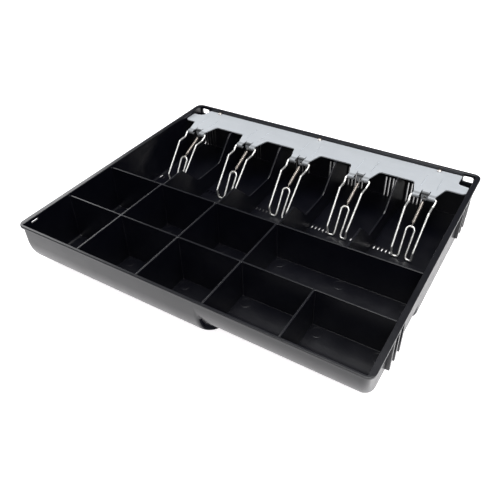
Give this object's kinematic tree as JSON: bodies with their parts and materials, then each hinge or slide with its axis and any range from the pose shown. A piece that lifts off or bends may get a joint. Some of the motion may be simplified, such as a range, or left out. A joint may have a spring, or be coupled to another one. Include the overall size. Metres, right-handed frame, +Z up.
{
  "type": "till tray insert",
  "caption": "Removable black plastic till tray with rounded coin cups, open bill bays and sprung wire bill clips hinged on a steel plate along its back.",
  "frame": {"origin": "centre of the bounding box at the underside of the tray", "axes": "+X to the right as seen from the coin cups, -Y towards the coin cups, +Y towards the clip plate, +Z up"},
  "size_m": [0.37, 0.3096, 0.057],
  "materials": {
    "tray_plastic": "satin moulded black plastic",
    "plate_steel": "zinc plated sheet, finely brushed",
    "clip_wire": "bright plated wire",
    "spring_wire": "bare spring wire",
    "screw_steel": "zinc plated"
  },
  "bodies": {
    "frame": {"tray": "tray_plastic", "clip_plate": "plate_steel", "plate_screw_1": "screw_steel", "plate_screw_2": "screw_steel", "plate_screw_3": "screw_steel"},
    "clip_1": {"bill_clip_1": "clip_wire"},
    "spring_1": {"clip_spring_1": "spring_wire"},
    "clip_2": {"bill_clip_2": "clip_wire"},
    "spring_2": {"clip_spring_2": "spring_wire"},
    "clip_3": {"bill_clip_3": "clip_wire"},
    "spring_3": {"clip_spring_3": "spring_wire"},
    "clip_4": {"bill_clip_4": "clip_wire"},
    "spring_4": {"clip_spring_4": "spring_wire"},
    "clip_5": {"bill_clip_5": "clip_wire"},
    "spring_5": {"clip_spring_5": "spring_wire"}
  },
  "joints": [
    {"name": "clip_1_hinge", "type": "hinge", "parent": "frame", "child": "clip_1", "pos_m": [-0.1471, 0.0945, 0.0509], "axis": [-1, 0, 0], "range_deg": [0, 105], "stiffness_Nm_per_rad": 0.02, "springref_deg": -28.65},
    {"name": "spring_1_swing", "type": "hinge", "parent": "frame", "child": "spring_1", "pos_m": [-0.1471, 0.0998, 0.04535], "axis": [-1, 0, 0], "range_deg": [0, 87], "deforming": ["clip_spring_1"]},
    {"name": "clip_2_hinge", "type": "hinge", "parent": "frame", "child": "clip_2", "pos_m": [-0.0744, 0.0945, 0.0509], "axis": [-1, 0, 0], "range_deg": [0, 105], "stiffness_Nm_per_rad": 0.02, "springref_deg": -28.65},
    {"name": "spring_2_swing", "type": "hinge", "parent": "frame", "child": "spring_2", "pos_m": [-0.0744, 0.0998, 0.04535], "axis": [-1, 0, 0], "range_deg": [0, 87], "deforming": ["clip_spring_2"]},
    {"name": "clip_3_hinge", "type": "hinge", "parent": "frame", "child": "clip_3", "pos_m": [-0.0031, 0.0945, 0.0509], "axis": [-1, 0, 0], "range_deg": [0, 105], "stiffness_Nm_per_rad": 0.02, "springref_deg": -28.65},
    {"name": "spring_3_swing", "type": "hinge", "parent": "frame", "child": "spring_3", "pos_m": [-0.0031, 0.0998, 0.04535], "axis": [-1, 0, 0], "range_deg": [0, 87], "deforming": ["clip_spring_3"]},
    {"name": "clip_4_hinge", "type": "hinge", "parent": "frame", "child": "clip_4", "pos_m": [0.0691, 0.0945, 0.0509], "axis": [-1, 0, 0], "range_deg": [0, 105], "stiffness_Nm_per_rad": 0.02, "springref_deg": -28.65},
    {"name": "spring_4_swing", "type": "hinge", "parent": "frame", "child": "spring_4", "pos_m": [0.0691, 0.0998, 0.04535], "axis": [-1, 0, 0], "range_deg": [0, 87], "deforming": ["clip_spring_4"]},
    {"name": "clip_5_hinge", "type": "hinge", "parent": "frame", "child": "clip_5", "pos_m": [0.1416, 0.0945, 0.0509], "axis": [-1, 0, 0], "range_deg": [0, 105], "stiffness_Nm_per_rad": 0.02, "springref_deg": -28.65},
    {"name": "spring_5_swing", "type": "hinge", "parent": "frame", "child": "spring_5", "pos_m": [0.1416, 0.0998, 0.04535], "axis": [-1, 0, 0], "range_deg": [0, 87], "deforming": ["clip_spring_5"]}
  ],
  "couplings": [
    {"joint": "spring_1_swing", "follows": "clip_1_hinge", "ratio": 0.818},
    {"joint": "spring_2_swing", "follows": "clip_2_hinge", "ratio": 0.818},
    {"joint": "spring_3_swing", "follows": "clip_3_hinge", "ratio": 0.818},
    {"joint": "spring_4_swing", "follows": "clip_4_hinge", "ratio": 0.818},
    {"joint": "spring_5_swing", "follows": "clip_5_hinge", "ratio": 0.818}
  ]
}
